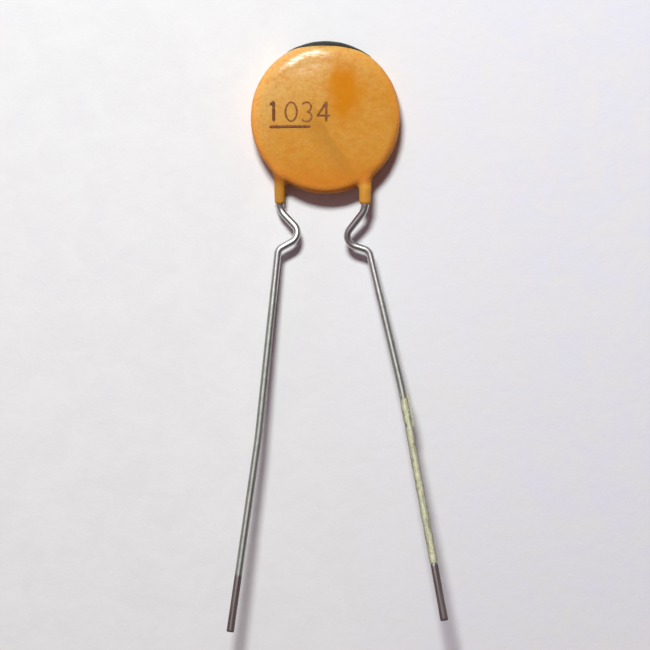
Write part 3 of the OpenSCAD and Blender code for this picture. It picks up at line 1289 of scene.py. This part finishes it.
@dataclass
class PaintMark:
    """Black paint that a dip has left on the rim opposite the wires, further down the back than the front.

    Its edge lies its depth below the top of the rim, leans and turns by degrees, and sags to the sides. Its wander
    is the depth and length of the edge's unevenness, and its cover is how thick the paint is.
    """

    shape: CoatShape
    depth: float = 0.85
    lean: float = 31.0
    turn: float = -3.0
    sag: float = 0.015
    wander: Flat = (0.05, 2.4)
    cover: float = 0.045
    edge_soft: float = 0.08
    low: Point = (-6.6, 4.6, -1.75)
    high: Point = (6.6, 7.0, 1.75)
    step: float = 0.07

    def distance(self, p: np.ndarray) -> np.ndarray:
        """Distance to the paint.

        Args:
            p: Local points.

        Returns:
            The distances, negative inside.
        """
        angle, lean = math.radians(self.turn), math.radians(self.lean)
        along = -math.sin(angle) * p[..., 0] + math.cos(angle) * p[..., 1]
        edge = self.shape.radius - self.depth + math.tan(lean) * p[..., 2] - self.sag * p[..., 0] ** 2
        edge = edge + self.wander[0] * ripple(p * np.array([1, 0, 1]), self.wander[1], SEED + 2)
        cut = (edge - along) * math.cos(lean)
        body = self.shape.distance(p) - self.cover
        return -soft_join(-body, -cut, self.edge_soft)

    def build(self) -> bpy.types.Object:
        """Builds its closed mesh."""
        return add_mesh("rim_paint", *skin_mesh(self.distance, self.low, self.high, self.step))

    def dress(self, piece: bpy.types.Object, effects: Effects) -> None:
        """Gives the paint its finish and its place in the frame."""
        seat(piece, "black_paint", PaintFinish().build(effects), "tip_mark")


@dataclass(frozen=True)
class Stroke:
    """One pen stroke of a digit, with its width in millimetres and share of ink."""

    points: tuple[Flat, ...]
    width: float
    ink: float


def arc(centre: Flat, radii: Flat, start: float, end: float, count: int) -> list[Flat]:
    """Points on part of an ellipse, from one angle in degrees to another, in a number of steps."""
    angles = [math.radians(start + (end - start) * i / count) for i in range(count + 1)]
    return [(centre[0] + radii[0] * math.cos(a), centre[1] + radii[1] * math.sin(a)) for a in angles]


@dataclass
class Digits:
    """Plain stamped digits on the printed face, the first three underlined."""

    shape: CoatShape
    height: float = 1.72
    base: float = -0.36
    places: tuple[float, ...] = (-4.58, -3.0, -1.66, -0.16)
    widths: tuple[float, ...] = (0.26, 0.17, 0.17, 0.2)
    inks: tuple[float, ...] = (0.95, 0.62, 0.55, 0.72)
    line: Stroke = Stroke(((-4.92, -0.83), (-1.3, -0.8)), 0.25, 0.85)
    step: float = 0.045
    columns: int = 5
    wander: Flat = (0.1, 0.4)
    end_least: float = 0.12
    edge_thinner: float = 0.9
    lift: float = 0.012
    bite: float = 0.03

    def strokes(self) -> list[Stroke]:
        """Strokes of the four digits and the line under them.

        Returns:
            The strokes, in local millimetres.
        """
        one = [(-0.16, 0.84), (0.02, 1.0), (0.03, 0.0)]
        nought = arc((0, 0.5), (0.29, 0.48), 90, 450, 30)
        three = arc((0, 0.74), (0.24, 0.25), 150, -75, 14) + arc((0, 0.25), (0.27, 0.25), 80, -150, 14)
        four = [(0.14, 0.0), (0.15, 1.0), (-0.3, 0.3), (0.34, 0.31)]
        made = []
        for path, x, width, ink in zip((one, nought, three, four), self.places, self.widths, self.inks):
            spots = tuple((x + self.height * a, self.base + self.height * b) for a, b in path)
            made.append(Stroke(spots, width, ink))
        return [*made, self.line]

    def ribbon(self, stroke: Stroke, seed: int) -> np.ndarray:
        """Thin closed slab of ink that follows the face, thinner towards its edges and rounded at its ends.

        Args:
            stroke: The stroke.
            seed: Seed of its uneven edge.

        Returns:
            Its points, row by row, the top first.
        """
        path = even_points(np.array(stroke.points), self.step)
        span = arc_lengths(path)
        way = np.gradient(path, axis=0)
        way /= np.linalg.norm(way, axis=1)[:, None]
        across = np.column_stack([-way[:, 1], way[:, 0]])
        half = stroke.width / 2
        ends = np.clip(np.minimum(span, span[-1] - span) / half, self.end_least, 1)
        swell = 1 + self.wander[0] * ripple(np.column_stack([path, span * 0 + seed]), self.wander[1], SEED + seed)
        half = half * np.sqrt(1 - (1 - ends) ** 2) * swell
        shares = np.linspace(-1, 1, self.columns)
        flat = path[:, None, :] + shares[None, :, None] * half[:, None, None] * across[:, None, :]
        face = self.shape.front(flat.reshape(-1, 2)).reshape(len(path), self.columns)
        layers = (face + self.lift * (1 - self.edge_thinner * shares ** 2), face - self.bite)
        return np.concatenate([np.dstack([flat, layer]).reshape(-1, 3) for layer in layers])

    def build(self) -> bpy.types.Object:
        """Builds all strokes as one object.

        Returns:
            The object.
        """
        points, faces, inks = np.empty((0, 3)), [], []
        for number, stroke in enumerate(self.strokes()):
            spots = self.ribbon(stroke, number)
            faces.append(slab_faces(len(spots) // (2 * self.columns), self.columns) + len(points))
            points = np.concatenate([points, spots])
            inks += [stroke.ink] * len(spots)
        piece = add_mesh("stamped_digits", points, np.concatenate(faces))
        store(piece.data, "ink", np.array(inks))
        return outward(piece)

    def dress(self, piece: bpy.types.Object, effects: Effects) -> None:
        """Gives the digits their finish and their place in the frame."""
        seat(piece, "black_paint", InkFinish().build(effects))


@dataclass
class WireRoute:
    """Corner points of one wire and the bend at each, from the disc's middle to the free end.

    From the leg the wire runs inwards and falls to its corner, then outwards and slopes to its heel. From there two
    straight runs spread outwards, the second turned by the bow, and rise; these angles are in degrees.
    """

    side: Side
    face: Face
    shape: CoatShape
    kink_in: float
    kink_fall: float
    kink_out: float
    kink_slope: float
    spread: float
    bow: float
    runs: Flat
    rise: float
    bends: tuple[float, ...] = (2.0, 0.5, 0.5, 1.5, 0.95, 0.75, 40.0)
    wire_z: float = 0.905
    kink_gap: float = 0.6
    bend_step: float = 5.0

    def run(self, length: float, spread: float) -> np.ndarray:
        """Vector of a straight stretch that spreads outwards by degrees and rises."""
        out, up = math.radians(spread), math.radians(self.rise)
        return length * np.array([self.side.value * math.sin(out) * math.cos(up),
                                  -math.cos(out) * math.cos(up), math.sin(up)])

    def corners(self) -> np.ndarray:
        """Corner points.

        Returns:
            One row for each.
        """
        z = self.face.value * self.wire_z
        inner = [(*flat, z) for flat in self.shape.ridge_points(self.side)]
        x, s = inner[2][0], self.side.value
        off = self.face.value * self.shape.leg_off
        inner.append((x, inner[2][1] - self.shape.step_run, off))
        start = np.array([x, self.shape.leg_line - self.kink_gap, off])
        corner = start + [-s * self.kink_in, -self.kink_fall, -off]
        heel = corner + [s * self.kink_out, -self.kink_slope, 0]
        middle = heel + self.run(self.runs[0], self.spread)
        end = middle + self.run(self.runs[1], self.spread + self.bow)
        return np.array([*inner, start, corner, heel, middle, end])

    def line(self, step: float = 0.22) -> np.ndarray:
        """The wire's middle line, with its bends rounded.

        Args:
            step: Largest distance between points.

        Returns:
            The points.
        """
        p = self.corners()
        spots = [p[0]]
        for i, radius in enumerate(self.bends, start=1):
            before, after = p[i] - p[i - 1], p[i + 1] - p[i]
            before, after = before / np.linalg.norm(before), after / np.linalg.norm(after)
            angle = math.acos(min(1.0, float(before @ after)))
            axis = np.cross(before, after) / math.sin(angle)
            start = p[i] - radius * math.tan(angle / 2) * before
            hub = start + radius * np.cross(axis, before)
            arm = start - hub
            for turned in np.linspace(0, angle, max(4, math.ceil(math.degrees(angle) / self.bend_step)) + 1):
                spots.append(hub + arm * math.cos(turned) + np.cross(axis, arm) * math.sin(turned))
        line = np.array([*spots, p[-1]])
        pieces = [line[:1]]
        for a, b in zip(line, line[1:]):
            parts = max(1, math.ceil(np.linalg.norm(b - a) / step))
            pieces.append(a + (b - a) * (np.arange(1, parts + 1) / parts)[:, None])
        return np.concatenate(pieces)


@dataclass(frozen=True)
class Section:
    """Section of a wire: its radius and sides, and the depth, seed and frequency of its uneven surface."""

    radius: float
    sides: int
    ripple_depth: float
    seed: float
    ripple_scale: float = 0.9


class TubeTree:
    """Geometry Nodes tree that puts a round wire of uneven girth along a line."""

    def __init__(self) -> None:
        """Builds the tree once."""
        self.tree = bpy.data.node_groups.new("wire_along_line", "GeometryNodeTree")
        face = self.tree.interface
        face.new_socket("Line", in_out="INPUT", socket_type="NodeSocketGeometry")
        self.names: dict[str, str] = {}
        for name, kind in (("Wire Radius", "Float"), ("Sides", "Int"), ("Ripple Depth", "Float"),
                           ("Ripple Scale", "Float"), ("Ripple Seed", "Float"), ("Finish", "Material")):
            self.names[name] = face.new_socket(name, in_out="INPUT", socket_type="NodeSocket" + kind).identifier
        face.new_socket("Wire", in_out="OUTPUT", socket_type="NodeSocketGeometry")
        self.lay_out()

    def lay_out(self) -> None:
        """Adds and joins the nodes."""
        g = Graph(self.tree)
        given = g.node("NodeGroupInput").outputs
        curve = g.get("GeometryNodeMeshToCurve", {"Mesh": given["Line"]})
        circle = g.get("GeometryNodeCurvePrimitiveCircle", {"Resolution": given["Sides"],
                                                            "Radius": given["Wire Radius"]})
        unit = g.scaled(g.get("GeometryNodeInputPosition"), g.math("DIVIDE", 1.0, given["Wire Radius"]))
        profile = g.get("GeometryNodeStoreNamedAttribute", {"Geometry": circle, "Name": "around", "Value": unit},
                        data_type="FLOAT_VECTOR")
        girth = g.get("GeometryNodeInputNamedAttribute", {"Name": "girth"}, data_type="FLOAT")
        tube = g.get("GeometryNodeCurveToMesh", {"Curve": curve, "Profile Curve": profile, "Scale": girth,
                                                 "Fill Caps": True})
        waves = g.get("ShaderNodeTexNoise", {"Scale": given["Ripple Scale"], "Detail": 2.0,
                                             "W": given["Ripple Seed"]}, noise_dimensions="4D")
        normal = g.get("GeometryNodeInputNormal")
        height = g.product(g.centred(waves), given["Ripple Depth"])
        moved = g.get("GeometryNodeSetPosition", {"Geometry": tube, "Offset": g.scaled(normal, height)})
        # crown is how far the surface faces up; the glue finish paints its highlight and shade from it.
        marked = g.get("GeometryNodeStoreNamedAttribute", {"Geometry": moved, "Name": "crown",
                                                           "Value": g.axes(normal)[2]}, data_type="FLOAT")
        smooth = g.get("GeometryNodeSetShadeSmooth", {"Geometry": marked})
        real = g.get("GeometryNodeRealizeInstances", {"Geometry": smooth})
        g.node("NodeGroupOutput", {"Wire": g.get("GeometryNodeSetMaterial", {"Geometry": real,
                                                                             "Material": given["Finish"]})})

    def grow(self, name: str, line: np.ndarray, girth: np.ndarray, section: Section, finish: bpy.types.Material,
             start: float = 0.0, end: float = 0.0) -> bpy.types.Object:
        """Makes a wire as a plain mesh.

        Args:
            name: Name of the object.
            line: Local points of its middle line.
            girth: Share of the radius at each point.
            section: Its section.
            finish: Its material.
            start: Length along the wire at the first point.
            end: Length from the last point to the wire's end.

        Returns:
            The object.
        """
        guide = add_mesh(name + "_line", line, [])
        guide.data.edges.add(len(line) - 1)
        pairs = np.column_stack([np.arange(len(line) - 1), np.arange(1, len(line))])
        guide.data.edges.foreach_set("vertices", pairs.ravel().astype(np.int32))
        reach = arc_lengths(line)
        for key, values in {"girth": girth, "along": reach + start, "to_end": reach[-1] - reach + end}.items():
            store(guide.data, key, values)
        guide.data.update()
        modifier = guide.modifiers.new("wire", "NODES")
        modifier.node_group = self.tree
        for key, value in {"Wire Radius": section.radius * METRES, "Sides": section.sides,
                           "Ripple Depth": section.ripple_depth * METRES,
                           "Ripple Scale": section.ripple_scale / METRES, "Ripple Seed": section.seed,
                           "Finish": finish}.items():
            modifier[self.names[key]] = value
        graph = bpy.context.evaluated_depsgraph_get()
        mesh = bpy.data.meshes.new_from_object(guide.evaluated_get(graph), preserve_all_data_layers=True,
                                               depsgraph=graph)
        mesh.name = name
        bpy.data.objects.remove(guide)
        return outward(link(name, mesh))


@dataclass
class Lead:
    """One tinned wire, from the disc's middle through its leg and kink to its cut end."""

    route: WireRoute
    bead: float
    end_swell: float
    radius: float = 0.325
    sides: int = 28
    ripple_depth: float = 0.012
    bead_below: float = 0.1
    bead_length: float = 0.22
    swell_length: float = 1.2
    cut_steps: tuple[float, ...] = (0.09, 0.05, 0.03, 0.012, 0.0)
    cut_girth: tuple[Point, Point] = ((0, 0.03, 0.09), (0.8, 0.94, 1.0))

    @property
    def side(self) -> str:
        """Which of the two it is, as its names say it."""
        return self.route.side.name.lower()

    def girth(self, line: np.ndarray) -> np.ndarray:
        """Share of the radius along the wire, with a bead at the leg and a rounded cut at the end.

        Args:
            line: Points of its middle line.

        Returns:
            The share at each point.
        """
        from_leg = np.abs(line[:, 1] - (self.route.shape.leg_line - self.bead_below))
        reach = arc_lengths(line)
        to_end = reach[-1] - reach
        outside = line[:, 1] < self.route.shape.leg_line + 1
        share = 1 + self.bead * np.exp(-(from_leg / self.bead_length) ** 2) * outside
        share = share + (self.end_swell - 1) * np.exp(-(to_end / self.swell_length) ** 2)
        return share * np.interp(to_end, *self.cut_girth)

    def build(self, tube: TubeTree, finish: bpy.types.Material) -> bpy.types.Object:
        """Builds its mesh.

        Args:
            tube: The shared tree.
            finish: Its material.

        Returns:
            The object.
        """
        line = self.route.line()
        way = line[-1] - line[-2]
        way /= np.linalg.norm(way)
        line = np.concatenate([line[:-1], [line[-1] - s * way for s in self.cut_steps]])
        section = Section(self.radius, self.sides, self.ripple_depth, float(self.route.side.value))
        return tube.grow("wire_" + self.side, line, self.girth(line), section, finish)

    def dress(self, piece: bpy.types.Object, finish: bpy.types.Material) -> None:
        """Gives the wire its finish and its place in the frame."""
        seat(piece, "tinned_wire", finish, "lead_" + self.side)


@dataclass
class GlueFilm:
    """Old tape glue along the lower run of the right wire, with a thin flap at its top."""

    lead: Lead
    top_y: float = -23.1
    low_y: float = -39.45
    step: float = 0.09
    thickness: float = 0.02
    bite: float = 0.035
    tapers: Flat = (1.9, 0.5)
    lumps: Flat = (1.3, 0.35)
    fine_share: float = 0.6
    lump_share: float = 0.55
    lump_limits: Flat = (-1.4, 1.6)
    sides: int = 30
    ripple_depth: float = 0.055
    flap_from: float = -23.7
    flap_to: float = -27.5
    flap_width: float = 0.34
    flap_half: float = 0.006
    flap_wander: Flat = (0.25, 0.7)
    flap_root: float = 0.26
    flap_slope: float = 0.16
    flap_drop: float = 0.05
    flap_sag: float = 0.25
    flap_shares: tuple[float, ...] = (0.0, 0.35, 0.7, 1.0)

    def build(self, tube: TubeTree, finish: bpy.types.Material) -> bpy.types.Object:
        """Builds the film.

        Args:
            tube: The shared tree.
            finish: Its material.

        Returns:
            The object.
        """
        whole = even_points(self.lead.route.line(), self.step)
        lengths, held = arc_lengths(whole), self.between(whole, self.top_y, self.low_y)
        line, before, after = whole[held], lengths[held][0], lengths[-1] - lengths[held][-1]
        reach, radius = arc_lengths(line), self.lead.radius
        broad, fine = (ripple_along(reach, length, SEED + 5 + k) for k, length in enumerate(self.lumps))
        lumps = np.clip(broad + self.fine_share * fine, *self.lump_limits)
        cover = self.thickness * (1 + self.lump_share * lumps)
        ends = np.clip(np.minimum(reach / self.tapers[0], (reach[-1] - reach) / self.tapers[1]), 0, 1)
        girth = (radius - self.bite + (cover + self.bite) * ends) / radius
        section = Section(radius, self.sides, self.ripple_depth, 4.0)
        return tube.grow("glue_film", line, girth, section, finish, before, after)

    def between(self, line: np.ndarray, top: float, low: float) -> np.ndarray:
        """Which points of a line lie between two values of Y."""
        return (line[:, 1] <= top) & (line[:, 1] >= low)

    def build_flap(self) -> bpy.types.Object:
        """Builds the thin flap that stands out from the wire's right side and hangs at its free edge.

        Returns:
            The object.
        """
        line = even_points(self.lead.route.line(), self.step)
        part = line[self.between(line, self.flap_from, self.flap_to)]
        reach = np.linspace(0, 1, len(part))
        width = self.flap_width * np.sin(math.pi * np.clip(reach * 0.9 + 0.05, 0, 1)) ** 0.6
        width = width * (1 + self.flap_wander[0] * ripple_along(part[:, 1], self.flap_wander[1], SEED + 7))
        wide = width[:, None] * self.flap_shares
        out, sag = self.flap_root + wide, -self.flap_drop - self.flap_sag * wide ** 2 / self.flap_width
        points = [(part[:, None] + np.stack([out, self.flap_slope * out, sag + layer], -1)).reshape(-1, 3)
                  for layer in (self.flap_half, -self.flap_half)]
        faces = slab_faces(len(part), len(self.flap_shares))
        return outward(add_mesh("glue_flap", np.concatenate(points), faces))

    def dress(self, piece: bpy.types.Object, finish: bpy.types.Material) -> None:
        """Gives a film piece its finish and its place in the frame."""
        seat(piece, "tinned_wire", finish)


# ---- Stage ----


@dataclass
class Floor:
    """Pale paper that the part lies on."""

    size: float = 900.0
    cells: int = 24

    def build(self, effects: Effects) -> None:
        """Builds the floor at the frame's zero height.

        Args:
            effects: The shared shader groups.
        """
        across = np.linspace(-self.size / 2, self.size / 2, self.cells + 1)
        points = np.array([(x, y, 0.0) for y in across for x in across]) - disc_centre()
        faces = quads(np.arange(len(points)).reshape(len(across), -1).T)
        piece = add_mesh("paper_floor", points, faces)
        piece.data.materials.append(PaperFinish().build(effects))


@dataclass
class StudioLight:
    """An oval key light from the top left, and a soft sky that is brightest on the same side.

    Angles are in degrees, lengths in millimetres and the power in watts.
    """

    key_elevation: float = 53.5
    key_turn: float = 13.5
    key_distance: float = 300.0
    key_size: Flat = (90.0, 48.0)
    key_power: float = 1.02
    key_colour: Colour = (0.955, 1.0, 0.985)
    sky_from: Point = (-0.45, 0.32, 0.83)
    sky_colour: Colour = (1.0, 0.58, 0.7)
    sky: Span = Span(0.45, 1.0, 0.055, 0.3)

    def build(self) -> None:
        """Adds the light, which points at the part, and the sky."""
        up, turn = math.radians(self.key_elevation), math.radians(self.key_turn)
        heading = np.array([-math.sin(turn) * math.cos(up), math.cos(turn) * math.cos(up), math.sin(up)])
        lamp = bpy.data.lights.new("key_light", "AREA")
        lamp.shape, lamp.energy, lamp.color = "ELLIPSE", self.key_power, self.key_colour
        lamp.size, lamp.size_y = (size * METRES for size in self.key_size)
        made = link("key_light", lamp)
        made.location = Vector(heading * self.key_distance * METRES)
        made.rotation_euler = (-made.location).to_track_quat("-Z", "Y").to_euler()
        world = bpy.data.worlds.new("soft_sky")
        world.use_nodes = True
        world.node_tree.nodes.clear()
        g = Graph(world.node_tree)
        towards = g.node("ShaderNodeTexCoord").outputs["Generated"]
        lobe = tuple(Vector(self.sky_from).normalized())
        share = g.node("ShaderNodeVectorMath", {0: towards, 1: lobe}, operation="DOT_PRODUCT").outputs["Value"]
        sky = g.node("ShaderNodeBackground", {"Color": (*self.sky_colour, 1.0), "Strength": g.spread(share, self.sky)})
        g.node("ShaderNodeOutputWorld", {"Surface": sky.outputs[0]})
        bpy.context.scene.world = world
        bpy.context.scene.view_settings.view_transform = "Standard"


@dataclass
class TopCamera:
    """Camera that looks straight down on the part."""

    centre: Flat = (-1.076, 0.969)
    height: float = 800.0
    plane: float = 1.4
    width: float = 57.2
    sensor: float = 36.0

    def build(self) -> None:
        """Adds the camera and makes it the scene's, wide enough to see its width at the height of its plane."""
        lens = bpy.data.cameras.new("top_camera")
        lens.sensor_width = self.sensor
        lens.lens = self.sensor * (self.height - self.plane) / self.width
        lens.clip_start, lens.clip_end = 0.05, 20.0
        made = link("top_camera", lens)
        made.location = (self.centre[0] * METRES, self.centre[1] * METRES, self.height * METRES)
        bpy.context.scene.camera = made


def build_leads(shape: CoatShape) -> tuple[Lead, Lead]:
    """The two wires, each with its own kink, runs and swellings.

    Args:
        shape: The coating that they leave.

    Returns:
        The left and the right wire.
    """
    left = WireRoute(Side.LEFT, Face.BACK, shape, kink_in=2.1, kink_fall=2.2, kink_out=2.25, kink_slope=1.25,
                     spread=6.0, bow=2.2, runs=(16.65, 17.3), rise=4.6)
    right = WireRoute(Side.RIGHT, Face.FRONT, shape, kink_in=2.2, kink_fall=2.75, kink_out=2.55, kink_slope=0.8,
                      spread=13.3, bow=-2.9, runs=(12.5, 20.8), rise=6.0)
    return Lead(left, bead=0.2, end_swell=1.03), Lead(right, bead=0.12, end_swell=1.1)


def main() -> None:
    """Builds the stage and the pieces in order."""
    logging.basicConfig(level=logging.INFO, format="%(name)s: %(message)s")
    TopCamera().build()
    StudioLight().build()
    effects = Effects()
    Floor().build(effects)
    shape = CoatShape()
    Core().dress(effects)
    for sub_assembly in (Coating(shape), PaintMark(shape), Digits(shape)):
        sub_assembly.dress(sub_assembly.build(), effects)
    tube, wire_finish = TubeTree(), TinnedWireFinish().build(effects)
    leads = build_leads(shape)
    for lead in leads:
        lead.dress(lead.build(tube, wire_finish), wire_finish)
    film = GlueFilm(leads[1])
    film_finish = FilmFinish().build(effects)
    film.dress(film.build(tube, film_finish), film_finish)
    film.dress(film.build_flap(), FlapFinish().build(effects))


if __name__ == "__main__":
    main()
